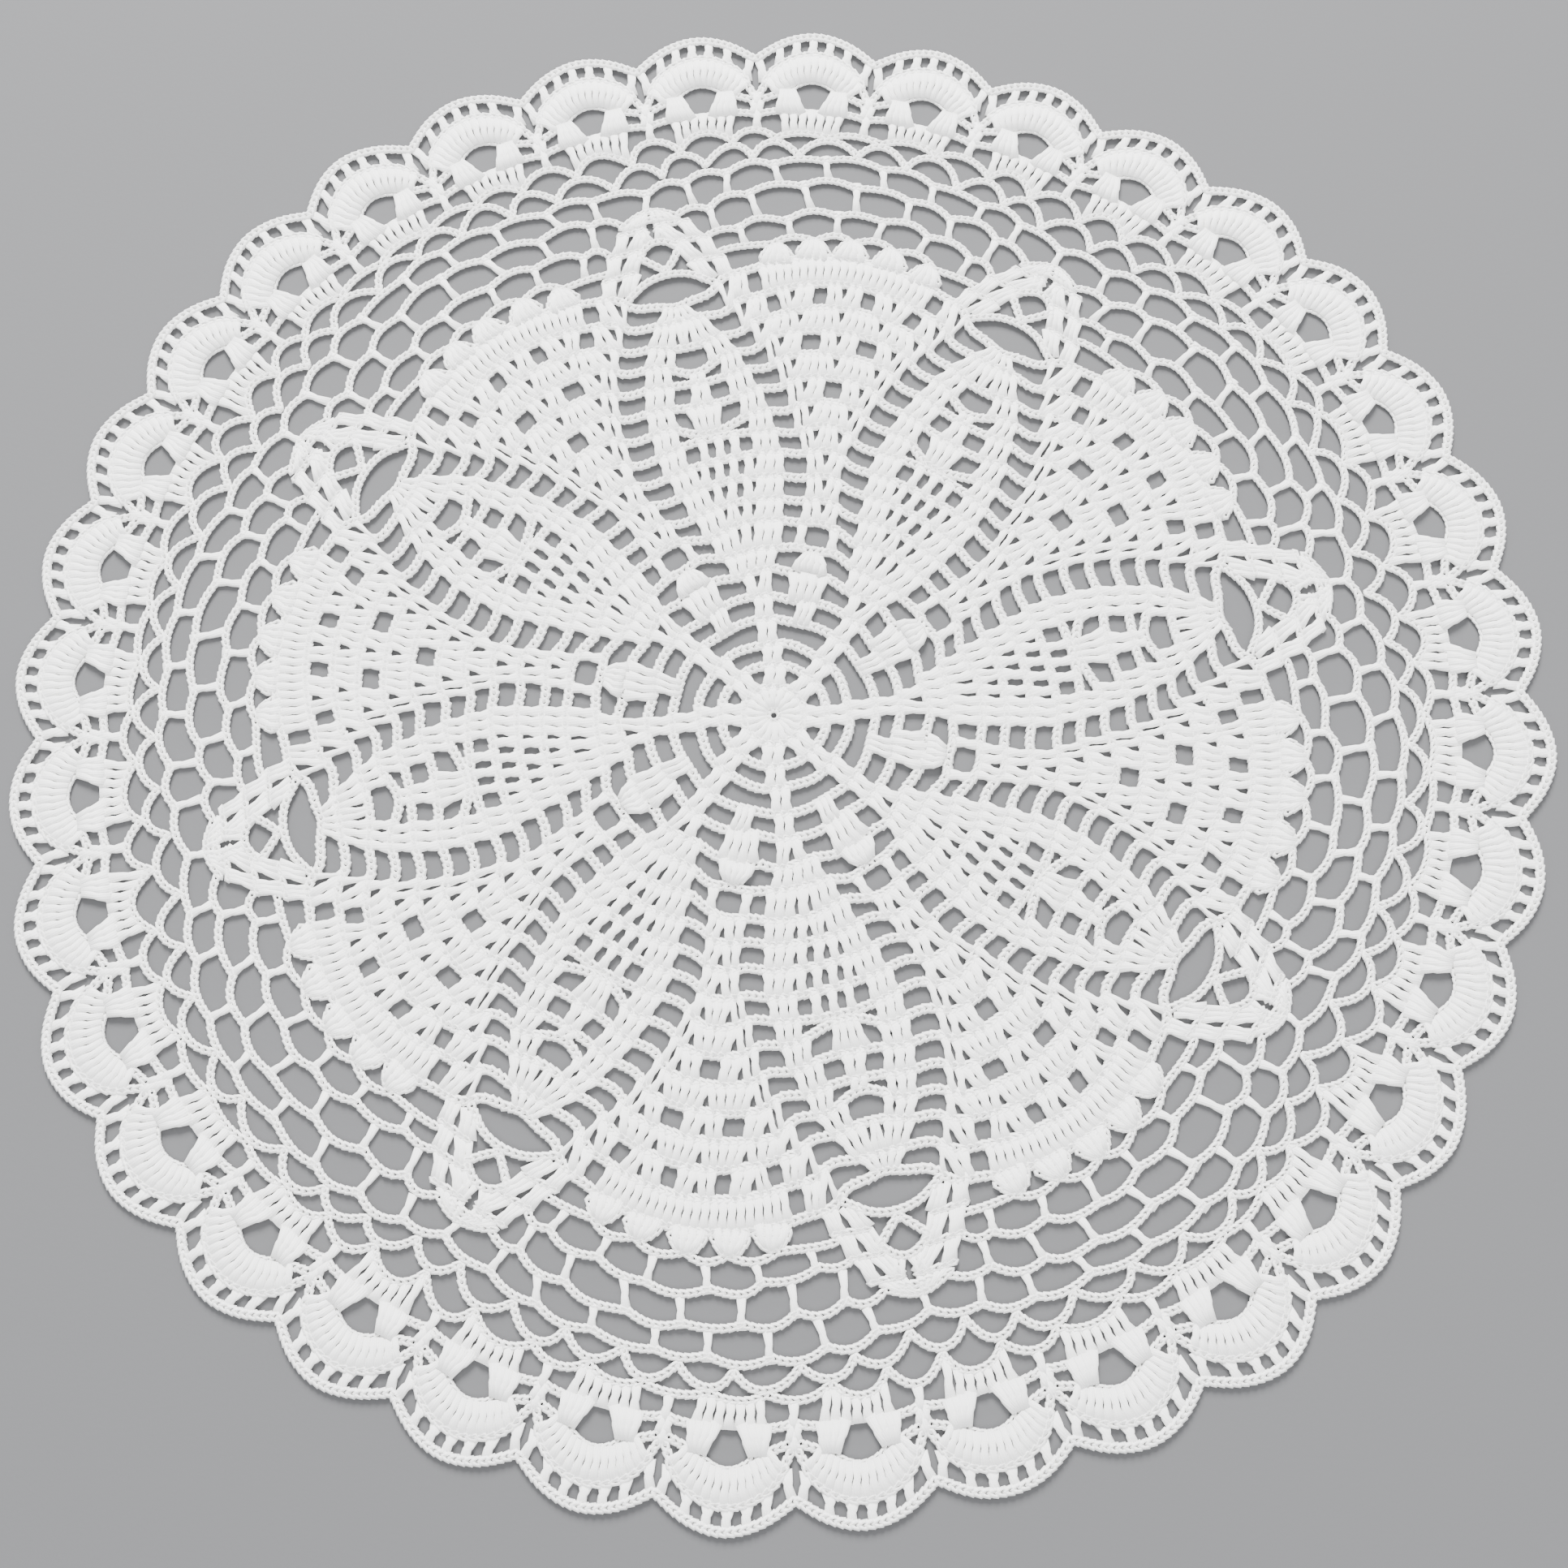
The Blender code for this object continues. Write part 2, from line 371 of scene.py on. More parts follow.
# %% The sides of leaves and fans
SIDES = (
    # reach, fan's near side, leaf's left, leaf's right, fan's far side, all clockwise
    (0.1400, -10.3, 3.1, 14.0, 24.2),
    (0.1520, -10.3, 3.4, 12.6, 24.6),
    (0.1725, -10.2, 2.4, 12.3, 20.6),
    (0.1935, -10.3, 0.4, 12.4, 17.6),
    (0.208, -12.0, -2.5, 13.1, 21.0),
    (0.247, -12.6, -5.8, 16.1, 20.3),
    (0.277, -13.8, -7.7, 15.8, 21.0),
    (0.312, -15.1, -9.0, 15.6, 21.5),
    (0.345, -16.3, -9.9, 15.7, 21.3),
    (0.378, -16.6, -10.6, 14.1, 19.9),
    (0.411, -15.4, -9.9, 13.0, 17.9),
    (0.443, -14.5, -9.3, 11.6, 16.5),
    (0.472, -13.2, -8.3, 9.8, 15.0),
    (0.501, -11.7, -7.0, 8.4, 13.0),
    (0.531, -10.0, -5.6, 6.8, 10.8),
    (0.562, -8.2, -4.4, 5.1, 8.6),
    (0.593, -6.5, -3.1, 3.5, 6.6),
    (0.622, -5.1, -1.6, 1.8, 4.9),
    (0.656, -3.7, 0.0, 0.0, 3.7),
    (0.685, -2.2, 0.0, 0.0, 1.9),
    (0.720, -0.5, 0.0, 0.0, 0.5),
    (0.745, 0.0, 0.0, 0.0, 0.0),
)
FAN_AXIS = (
    # reach, clockwise
    (0.27, -18.0),
    (0.286, -18.5),
    (0.32, -19.4),
    (0.358, -20.5),
    (0.394, -21.0),
    (0.45, -21.5),
    (0.50, -22.0),
    (0.60, -22.5),
)


def side_at(reach):
    """(fan's near side, leaf's left, leaf's right, fan's far side) at a reach."""
    reaches, *columns = np.transpose(SIDES)
    return [float(np.interp(reach, reaches, column)) for column in columns]


def fan_axis(reach):
    return float(np.interp(reach, *np.transpose(FAN_AXIS)))


print("leaf at reach 0.4 is", np.round(np.diff(side_at(0.4)[1:3]), 1), "degrees wide")

# %% The lines of the inner rounds
LINES = {
    1: [(-22.5, 0.040), (0, 0.040)],
    2: [(-16, 0.070), (-7, 0.0690), (5, 0.0685), (20, 0.0695)],
    3: [(-20, 0.0995), (-10, 0.0980), (-3, 0.0960), (8, 0.0965), (18, 0.0990)],
    4: [(-20, 0.1280), (-10, 0.1305), (-5, 0.1320), (5, 0.1320), (15, 0.1320), (20, 0.1300)],
    5: [
        (-22, 0.1575),
        (-14, 0.1600),
        (-9.5, 0.1635),
        (-5, 0.1650),
        (3, 0.1640),
        (11.5, 0.1645),
        (18, 0.1605),
    ],
    6: [
        (-24.6, 0.1930),
        (-22, 0.1990),
        (-18, 0.2020),
        (-14, 0.2005),
        (-9, 0.1995),
        (-5, 0.1970),
        (-3, 0.1945),
        (0, 0.1920),
        (2.5, 0.1950),
        (6.5, 0.2005),
        (11, 0.2015),
        (15.4, 0.2020),
        (17.3, 0.1995),
    ],
    7: [
        (-18, 0.2275),
        (-15.5, 0.2310),
        (-13, 0.2365),
        (-11, 0.2375),
        (-9, 0.2335),
        (-7, 0.2295),
        (-5, 0.2255),
        (-2, 0.2245),
        (3, 0.2270),
        (8, 0.2290),
        (16.5, 0.2305),
        (20, 0.2320),
        (22.5, 0.2345),
        (24.7, 0.2340),
    ],
    8: [
        (-22, 0.2690),
        (-18.5, 0.2735),
        (-15, 0.2700),
        (-12.3, 0.2665),
        (-9.7, 0.2615),
        (-6.5, 0.2545),
        (-3.5, 0.2580),
        (0, 0.2640),
        (4, 0.2690),
        (13, 0.2695),
        (16.5, 0.2690),
        (19.5, 0.2670),
        (21.2, 0.2655),
    ],
}
print(len(LINES), "inner lines charted")

# %% The lines of the outer rounds
LINE_REACHES = (
    # round, left ladder, leaf's middle, right ladder, fan's edge, fan's middle
    (9, 0.2940, 0.2985, 0.3000, 0.3030, 0.305),
    (10, 0.3285, 0.3305, 0.3325, 0.3370, 0.3395),
    (11, 0.3610, 0.3615, 0.3670, 0.3725, 0.3755),
    (12, 0.3920, 0.3955, 0.3960, 0.4070, 0.411),
    (13, 0.4255, 0.4250, 0.4270, 0.4430, 0.444),
    (14, 0.4585, 0.4445, 0.4605, 0.4765, 0.480),
    (15, 0.4905, 0.4790, 0.4895, 0.5085, 0.5135),
    (16, 0.5195, 0.5120, 0.5160, 0.5405, 0.548),
    (17, 0.5475, 0.5350, 0.5430, 0.5665, 0.583),
    (18, 0.5770, 0.5720, 0.5745, 0.5990, 0.619),
    (19, 0.6060, 0.5945, 0.6040, 0.6335, 0.657),
)
LEAF_DIPS = {
    # round: how its line dips inside the leaf, where chains cross the open gaps
    13: [
        (-6.4, 0.4245),
        (-4.4, 0.4160),
        (-1.6, 0.4035),
        (1.5, 0.4015),
        (3.8, 0.4045),
        (6.0, 0.4115),
        (9.2, 0.4225),
    ],
    14: [
        (-6.2, 0.4540),
        (-4.5, 0.4485),
        (-2.0, 0.4450),
        (1.0, 0.4435),
        (5.0, 0.4440),
        (8.0, 0.4510),
    ],
    15: [
        (-5.8, 0.4865),
        (-4.0, 0.4820),
        (-1.7, 0.4790),
        (1.5, 0.4770),
        (3.6, 0.4770),
        (6.0, 0.4820),
    ],
    16: [
        (-4.4, 0.5160),
        (-3.1, 0.5070),
        (-1.2, 0.4965),
        (0.7, 0.4895),
        (2.5, 0.4945),
        (4.4, 0.5060),
        (5.6, 0.5130),
    ],
    17: [(-3.8, 0.5410), (-2.6, 0.5345), (-1.2, 0.5320), (2.5, 0.5320), (3.9, 0.5355)],
    19: [(-1.0, 0.5955), (0.0, 0.5925), (1.0, 0.5930), (2.0, 0.5965)],
}
FAN_SHARES = (-0.82, -0.55, -0.28, 0.0, 0.28, 0.55, 0.82)


def fan_places(number, near, brink, crown):
    """A line over the fan, highest in its middle and lower on its far half."""
    axis = fan_axis(crown)
    fall = 0.010 if number in (17, 18) else 0.004
    places = []
    for share in FAN_SHARES:
        reach = crown - (crown - brink) * (share / FAN_SHARES[-1]) ** 2 - fall * max(0, -share)
        places.append((axis + share * (near - axis), reach))
    return places


for number, left, middle, right, brink, crown in LINE_REACHES:
    near, leaf_left, leaf_right, far = side_at(left)
    span = leaf_right - leaf_left
    plain = [
        (leaf_left + 0.28 * span, middle - 0.0012),
        (leaf_left + 0.5 * span, middle),
        (leaf_left + 0.75 * span, (middle + right) / 2),
    ]
    LINES[number] = [
        *fan_places(number, near, brink, crown),
        # the ladder on the leaf's left
        (near - 0.9, brink - 0.001),
        (near + 0.4, 0.2 * brink + 0.8 * left - 0.004),
        (0.6 * near + 0.4 * leaf_left, left - 0.004),
        (leaf_left + 0.1, left - 0.003),
        *LEAF_DIPS.get(number, plain),
        # the ladder on its right
        (leaf_right, right + 0.0005),
        ((leaf_right + far) / 2, right - 0.004),
        (far - 0.4, 0.85 * right + 0.15 * brink - 0.004),
        (far + 0.9, brink - 0.003),
    ]
print(len(LINES), "lines charted")


# %% Read a line
def line_at(number, clockwise):
    """The reach of a round's line at places given from an eye."""
    places, reaches = np.transpose(LINES[number])
    return np.interp(clockwise, places, reaches, period=REPEAT)


turns = np.arange(0, 360, 0.5)
for number in LINES:
    # the mean of three readings rounds off the line's corners
    reach = sum(line_at(number, turns + off) for off in (-0.5, 0, 0.5)) / 3
    part, strength = ("leaves", 1.18) if number < 9 else ("rounds", 1.16)
    plait(part, leaf_place(0, turns, reach), closed=True, width=strength, lift=0.0001)
print(tally("leaves", LINK) + tally("rounds", LINK), "links on the lines")

# %% [markdown]
# ## Rows of posts
# Between two lines the posts fill every stretch that isn't a gap. A gap is given by
# its left and right at the feet and at the heads, so the same row can hold a square
# gap, or a small one that closes to a point where two posts share a foot. How many
# posts fit in a stretch comes from its width, as it does for the hand that works it.

# %% Fill a row
POST_PITCH = 0.0119  # from one post to the next, as a share of the radius
ROW_FEET = 0.008  # how far above the line below the sides of a row's feet are read
ROW_HEADS = 0.006  # how far under its own line the sides of its heads are read
LADDER_TURN = -9.0  # where the lines are read for a leaf's rows, clockwise from its eye
FAN_TURN = -16.0  # where they are read for a fan's


def row(part, leaf, number, foot_sides, head_sides, gaps=(), count=None, height=1.0):
    """Posts from the line below to a round's own line, leaving the gaps open."""
    edges = [(foot_sides[0], head_sides[0])]
    for foot_left, foot_right, head_left, head_right in gaps:
        edges += [(foot_left, head_left), (foot_right, head_right)]
    edges.append((foot_sides[1], head_sides[1]))
    for (foot_a, head_a), (foot_b, head_b) in zip(edges[::2], edges[1::2]):
        wide = radians(head_b - head_a) * line_at(number, (head_a + head_b) / 2)
        narrow = radians(foot_b - foot_a) * line_at(number - 1, (foot_a + foot_b) / 2)
        posts = count or max(1, round(max(wide, (wide + narrow) / 2) / POST_PITCH))
        share = (np.arange(posts) + 0.5) / posts
        feet = foot_a + share * (foot_b - foot_a)
        heads = head_a + share * (head_b - head_a)
        tails = leaf_place(leaf, feet, line_at(number - 1, feet) - 0.003)
        tips = leaf_place(leaf, heads, line_at(number, heads) + 0.001)
        foot = np.clip(narrow / posts / POST_PITCH, 0.45, 1.5)
        head = np.clip(wide / posts / POST_PITCH, 0.45, 1.5)
        lay(part, POST, tails, tips, foot, head, height, 0.00012)


def square(middle, half):
    return (middle - half, middle + half, middle - half, middle + half)


def pointed(middle, half):
    return (middle + 0.8 * half, middle - 0.8 * half, middle - half, middle + half)


def slit(middle, half):
    return (middle - 0.4 * half, middle + 0.4 * half, middle - half, middle + half)


print("a square gap from", square(0, 1)[:2], "and a pointed one from", pointed(0, 1)[:2])

# %% The leaves' rows
LEAF_GAPS = {
    6: [pointed(6.6, 1.9)],
    8: [pointed(2.9, 0.75), pointed(7.0, 0.75)],
    9: [pointed(0.3, 0.9), pointed(4.3, 1.1), pointed(8.1, 0.8)],
    10: [pointed(-2.1, 0.85), pointed(1.4, 1.1), slit(5.2, 0.75), pointed(8.6, 0.8)],
    11: [
        pointed(-3.4, 0.7),
        slit(-0.5, 0.75),
        slit(2.8, 0.8),
        slit(6.1, 0.8),
        pointed(9.2, 0.7),
    ],
    12: [
        (-4.9, -2.1, -4.8, -2.0),
        (0.0, 1.2, -0.3, 1.3),
        (3.4, 4.5, 3.0, 4.3),
        (6.8, 9.2, 6.2, 8.7),
    ],
    13: [(-5.0, 8.6, -4.9, 8.5)],
    14: [(-4.2, -1.2, -4.6, -2.5), (3.2, 7.3, 4.0, 7.3)],
    15: [(-4.0, -1.4, -3.1, -0.4), (3.1, 6.1, 2.3, 5.3)],
    16: [(-3.0, -0.7, -2.9, -0.3), (2.4, 4.9, 2.2, 5.0)],
    17: [(-2.0, 3.4, -1.4, 2.7)],
    18: [(-1.1, -0.2, -0.4, -0.9), (0.6, 1.6, 1.4, 0.8)],
}
LEAF_COUNTS = {7: 5, 19: 5}  # rounds with a set number of posts in the leaf
for leaf in range(LEAVES):
    for number in range(6, 20):
        lean = 0.5 if number < 17 else 0.9
        foot_left, foot_right = side_at(line_at(number - 1, LADDER_TURN) + ROW_FEET)[1:3]
        foot_sides = (foot_left - lean, foot_right + lean)
        head_sides = side_at(line_at(number, LADDER_TURN) - ROW_HEADS)[1:3]
        gaps = LEAF_GAPS.get(number, ())
        row("leaves", leaf, number, foot_sides, head_sides, gaps, LEAF_COUNTS.get(number))
print(tally("leaves", POST), "posts in the leaves")

# %% [markdown]
# ## The middle and the buds
# The ring in the middle holds eighteen posts round a tiny hole. Pairs of posts make
# the eight spokes, with chain between them, and between two spokes a bud grows: a few
# posts, then five whose heads are drawn together in one stitch, which makes it swell.

# %% The ring, the spokes and the buds
RING_POSTS = 18
ring = np.arange(RING_POSTS) * 360 / RING_POSTS
lay("leaves", POST, leaf_place(0, ring, 0.009), leaf_place(0, ring, 0.041), 0.5, 1.15, lift=0.0001)
plait("leaves", leaf_place(0, np.arange(0, 360, 15.0), 0.0115), closed=True, width=0.8)
SPOKES = (
    # round, feet from and to, heads from and to
    (2, -7.5, 37.5, 2.6, 26.6),
    (3, 3.0, 23.0, 2.6, 20.5),
    (4, 1.6, 17.4, 2.8, 14.4),
    (5, 3.1, 14.1, 3.5, 12.5),
)
BUD_ROWS = (
    # round, posts, feet from and to, heads from and to
    (5, 3, -20.6, -10.3, -20.0, -10.4),
    (6, 4, -24.4, -9.9, -25.6, -10.2),
)
BUD_SIDES = (
    # clockwise and reach of the feet, then of the heads, of the posts beside the bud
    ((-12.4, -23.2), (0.233, 0.231)),
    ((-13.9, -23.3), (0.269, 0.268)),
)
BUD_SPOTS = np.arange(-2.0, 3.0)
BUD_SWELL = 1.35  # how high the bud stands beside a plain post
for leaf in range(LEAVES):
    for number, foot_a, foot_b, head_a, head_b in SPOKES:
        row("leaves", leaf, number, (foot_a, foot_b), (head_a, head_b), count=2)
    for number, count, foot_a, foot_b, head_a, head_b in BUD_ROWS:
        foot_sides, head_sides = (foot_a, foot_b), (head_a, head_b)
        row("leaves", leaf, number, foot_sides, head_sides, count=count, height=1.15)
    feet = leaf_place(leaf, -17.9 + BUD_SPOTS * 2.5, 0.201 - 0.001 * np.abs(BUD_SPOTS))
    heads = leaf_place(leaf, -18.0 + BUD_SPOTS * 1.1, 0.2275 - 0.0015 * np.abs(BUD_SPOTS))
    lay("leaves", POST, feet, heads, 1.05, 0.62, BUD_SWELL, 0.0002, 0.0003 * BUD_SPOTS)
    feet, heads = (leaf_place(leaf, *places) for places in BUD_SIDES)
    lay("leaves", POST, feet, heads, 1.2, 1.05)
print(tally("leaves", POST), "posts in the leaves, with the ring, the spokes and the buds")

# %% [markdown]
# ## The fans
# A fan opens between two leaves. Along each edge runs a column of shells, two posts,
# a small gap and two posts, and inside it larger gaps alternate from row to row. The
# last row has no gaps in its middle, and five bell-shaped clusters sit on it like teeth.

# %% The fans' rows
FAN_GAPS = {
    9: [pointed(0, 1.15)],
    10: [pointed(0, 1.05)],
    11: [pointed(0, 1.14)],
    12: [pointed(-2.3, 0.95), pointed(2.4, 0.95)],
    13: [pointed(-3.6, 0.91), pointed(3.6, 0.91)],
    14: [pointed(-4.8, 0.76), square(0, 1.42), pointed(4.8, 0.76)],
    15: [pointed(-6.65, 0.81), pointed(0, 0.81), pointed(6.65, 0.81)],
    16: [
        pointed(-8.5, 0.81),
        square(-4.0, 1.35),
        pointed(0, 0.66),
        square(4.4, 1.40),
        pointed(8.5, 0.81),
    ],
    17: [
        pointed(-11.2, 0.76),
        pointed(-5.7, 0.66),
        pointed(0, 0.66),
        pointed(5.7, 0.66),
        pointed(11.2, 0.76),
    ],
    18: [
        pointed(-13.4, 0.66),
        (-9.6, -7.9, -10.5, -9.1),
        pointed(-6.8, 0.56),
        square(-3.1, 0.85),
        pointed(0, 0.61),
        square(3.3, 0.85),
        pointed(6.8, 0.56),
        (8.1, 10.1, 9.6, 11.1),
        pointed(13.4, 0.66),
    ],
    19: [
        pointed(-15.3, 0.61),
        (-12.1, -10.4, -12.7, -11.2),
        (10.6, 12.5, 11.3, 13.0),
        pointed(15.4, 0.61),
    ],
}


def fan_sides(reach):
    """The two edges of a fan at a reach, clockwise from an eye."""
    near, _, _, far = side_at(reach)
    return far - REPEAT, near


def fan_brink(number):
    """The reach of a round's line just inside a fan's edge."""
    return line_at(number, side_at(line_at(number, FAN_TURN))[0] - 1)


for leaf in range(LEAVES):
    for number, gaps in FAN_GAPS.items():
        below, above = fan_brink(number - 1), fan_brink(number)
        lean = 0.3 if number < 17 else 0.5
        head_left, head_right = fan_sides(above - ROW_HEADS)
        head_sides = (head_left - lean, head_right + lean)
        foot, head = fan_axis(below), fan_axis(above)
        placed = [(a + foot, b + foot, c + head, d + head) for a, b, c, d in gaps]
        row("fans", leaf, number, fan_sides(below + ROW_FEET), head_sides, placed)
print(tally("fans", POST), "posts in the fans")

# %% The teeth on the fans
TEETH = (-8.8, -4.4, 0.1, 4.95, 9.5)
TOOTH_LEGS = np.array((-1.5, -0.5, 0.5, 1.5))
TOOTH_EDGE = np.transpose(
    (
        # degrees from the tooth's middle, reach past the fan's last line
        (-1.9, 0.006),
        (-1.25, 0.018),
        (-0.5, 0.0275),
        (0.5, 0.0275),
        (1.25, 0.018),
        (1.9, 0.006),
    )
)
tooth_rise = 0.030 - 0.004 * np.abs(TOOTH_LEGS)
for leaf in range(LEAVES):
    for tooth in TEETH:
        spot = tooth - REPEAT / 2
        top = line_at(19, spot)
        feet = leaf_place(leaf, spot + TOOTH_LEGS, top - 0.004)
        heads = leaf_place(leaf, spot + 0.4 * TOOTH_LEGS, top + tooth_rise)
        lay("fans", POST, feet, heads, 1.05, 0.8, 1.1, 0.0001, 0.0002 * TOOTH_LEGS)
        edge = leaf_place(leaf, spot + TOOTH_EDGE[0], top + TOOTH_EDGE[1])
        plait("fans", smooth(edge), width=0.9, lift=0.0001)
print(len(TEETH) * LEAVES, "teeth")

# %% [markdown]
# ## Round the eyes
# The edge shells of two fans lean together past the tip of each leaf and meet above
# its eye. A chain arches over the eye, two short chains cross above it and leave a
# diamond, and the last shell closes the point. These few stitches are placed one by
# one, because nothing else on the doily is like them.

# %% The strips beside an eye
EYE_SHELLS = (
    # feet: middle, half width, reach; heads: outer, gap, inner, reach
    (6.6, 2.3, 0.629, 7.8, 5.3, 2.9, 0.660),
    (5.2, 2.1, 0.661, 6.3, 3.85, 1.5, 0.692),
    (3.8, 1.95, 0.693, 4.5, 2.2, 0.15, 0.722),
)
SHELL_POSTS = np.array((-1.0, -0.6, -0.2, 0.2, 0.6, 1.0))
SHELL_WIDTHS = np.array((0.8, 0.85, 0.8, 0.8, 0.85, 0.8))
SHELL_LEAN = 0.15  # how far the shells sit back from the eye's middle line, in degrees
TIP_FEET = np.array((3.2, 2.4, 1.6, 0.8))
TIP_HEADS = np.array((1.5, 1.1, 0.7, 0.25))
TIP_REACHES = (0.7385, 0.7420, 0.7445, 0.7460)
TIP_CHAIN = ((-3.7, 0.7290), (-2.1, 0.7385), (-0.2, 0.7455), (1.5, 0.7395), (2.7, 0.7310))


def leaf_curve(leaf, places):
    """A soft curve through places given from the eye of one leaf, in metres."""
    return smooth(leaf_place(leaf, *np.transpose(places)))


def eye_shell(leaf, side, foot, half, foot_reach, outer, gap, inner, head_reach):
    """Six posts from one stitch in two bunches, with a chain over their heads."""
    near = (inner + 0.4, (inner + gap) / 2 - 0.2, gap - 0.95)
    heads = np.array((*near, gap + 0.95, (outer + gap) / 2 + 0.15, outer - 0.6))
    feet = foot + 0.85 * half * SHELL_POSTS
    foot_reaches = foot_reach - 0.003 * SHELL_POSTS**2
    head_reaches = head_reach - 0.004 * SHELL_POSTS**2
    tails = leaf_place(leaf, side * feet - SHELL_LEAN, foot_reaches)
    tips = leaf_place(leaf, side * heads - SHELL_LEAN, head_reaches)
    wide = SHELL_WIDTHS * (outer - inner) / 4.4
    lay("eyes", POST, tails, tips, 0.6, wide, 1.0, 0.00008, -0.00012 * side * SHELL_POSTS)
    edge = [side * place - SHELL_LEAN for place in (inner + 0.5, gap, outer - 0.4)]
    chain = smooth(leaf_place(leaf, edge, head_reach - 0.002))
    plait("eyes", chain, width=0.85, lift=0.0001)


for leaf in range(LEAVES):
    for side in (-1, 1):
        for shell in EYE_SHELLS:
            eye_shell(leaf, side, *shell)
        feet = leaf_place(leaf, side * TIP_FEET - 0.2, 0.7230)
        heads = leaf_place(leaf, side * TIP_HEADS - 0.2, TIP_REACHES)
        lay("eyes", POST, feet, heads, 0.65, 0.6, 1.0, 0.00008)
    plait("eyes", leaf_curve(leaf, TIP_CHAIN), width=0.9, lift=0.0001)
print(tally("eyes", POST), "posts beside and above the eyes")

# %% The chains round an eye
EYE_CHAINS = (
    (
        (-5.9, 0.6190),
        (-4.9, 0.6250),
        (-3.6, 0.6350),
        (-1.9, 0.6420),
        (0.0, 0.6440),
        (1.9, 0.6425),
        (3.6, 0.6355),
        (4.9, 0.6255),
        (5.8, 0.6200),
    ),
    ((0.2, 0.6480), (-0.7, 0.6575), (-1.7, 0.6675), (-2.7, 0.6805)),
    ((-0.2, 0.6480), (0.9, 0.6590), (1.8, 0.6715), (2.4, 0.6820)),
    ((-2.6, 0.6830), (-1.2, 0.6945), (-0.1, 0.6995), (1.0, 0.6945), (2.2, 0.6830)),
    ((-1.9, 0.7290), (-0.2, 0.7335), (1.5, 0.7290)),
)
for leaf in range(LEAVES):
    for chain in EYE_CHAINS:
        plait("eyes", leaf_curve(leaf, chain), lift=0.0002)
    feet = leaf_place(leaf, (-1.2, -0.5, 0.3, 1.0), 0.6985)
    heads = leaf_place(leaf, (-1.9, -1.15, 0.6, 1.4), 0.7240)
    lay("eyes", POST, feet, heads, 0.7, 0.6, lift=0.0001)
print(len(EYE_CHAINS) * LEAVES, "chains round the eyes")

# %% [markdown]
# ## The net
# The net is loops of chain. In its first rounds each loop hangs from short posts that
# stand on the tops of the loops below, which gives six-sided holes. In the last two
# the loops are joined straight to the tops below, like fish scales. One repeat is
# charted, from the middle of a fan to the middle of the next.

# %% Loops of chain
NET_ROUNDS = (
    # where the loops end, clockwise and in reach, then their tops, in the same way
    (
        (-22.4, -17.2, -12.3, -6.8, 6.8, 13.1, 18.2),
        (0.6820, 0.6790, 0.6715, 0.6690, 0.6670, 0.6730, 0.6795),
        (-19.6, -14.7, -9.9, 10.2, 15.8, 20.7),
        (0.6910, 0.6860, 0.6715, 0.6715, 0.6855, 0.6920),
    ),
    (
        (-19.4, -14.2, -8.7, -5.9, 5.4, 9.1, 14.6, 20.0),
        (0.7240, 0.7140, 0.7030, 0.6950, 0.6900, 0.6960, 0.7080, 0.7200),
        (-16.8, -11.5, -7.3, 7.1, 12.0, 17.2, 22.8),
        (0.7275, 0.7185, 0.7085, 0.6995, 0.7110, 0.7255, 0.7295),
    ),
    (
        (-17.6, -12.2, -6.9, -3.3, 2.8, 6.5, 11.0, 16.4, 22.0),
        (0.7620, 0.7520, 0.7425, 0.7335, 0.7320, 0.7340, 0.7470, 0.7600, 0.7650),
        (-20.2, -14.8, -9.4, -5.6, 5.0, 9.1, 14.2, 19.4),
        (0.7710, 0.7655, 0.7590, 0.7475, 0.7430, 0.7520, 0.7640, 0.7700),
    ),
    (
        (-20.7, -15.2, -9.9, -5.2, -0.1, 4.4, 8.9, 13.7, 19.1),
        (0.8000, 0.7940, 0.7880, 0.7800, 0.7680, 0.7760, 0.7850, 0.7950, 0.7995),
        (-18.2, -12.8, -7.8, -2.9, 2.4, 7.0, 11.9, 16.6, 21.8),
        (0.8045, 0.7980, 0.7935, 0.7820, 0.7815, 0.7925, 0.8015, 0.8045, 0.8065),
    ),
    (
        (-18.2, -12.9, -7.9, -2.9, 2.1, 6.9, 11.6, 16.7, 22.0),
        (0.8080, 0.8020, 0.8000, 0.7885, 0.7900, 0.8010, 0.8070, 0.8105, 0.8130),
        (-20.5, -15.5, -10.4, -5.4, -0.2, 4.6, 9.6, 14.3, 19.2),
        (0.8355, 0.8320, 0.8280, 0.8215, 0.8155, 0.8195, 0.8265, 0.8325, 0.8345),
    ),
    (
        (-20.5, -15.5, -10.4, -5.4, -0.2, 4.6, 9.6, 14.3, 19.2),
        (0.8395, 0.8365, 0.8325, 0.8265, 0.8205, 0.8250, 0.8315, 0.8370, 0.8390),
        (-18.1, -13.1, -8.0, -2.9, 2.2, 7.0, 11.9, 16.7, 21.7),
        (0.8480, 0.8485, 0.8500, 0.8495, 0.8490, 0.8495, 0.8480, 0.8450, 0.8455),
    ),
)
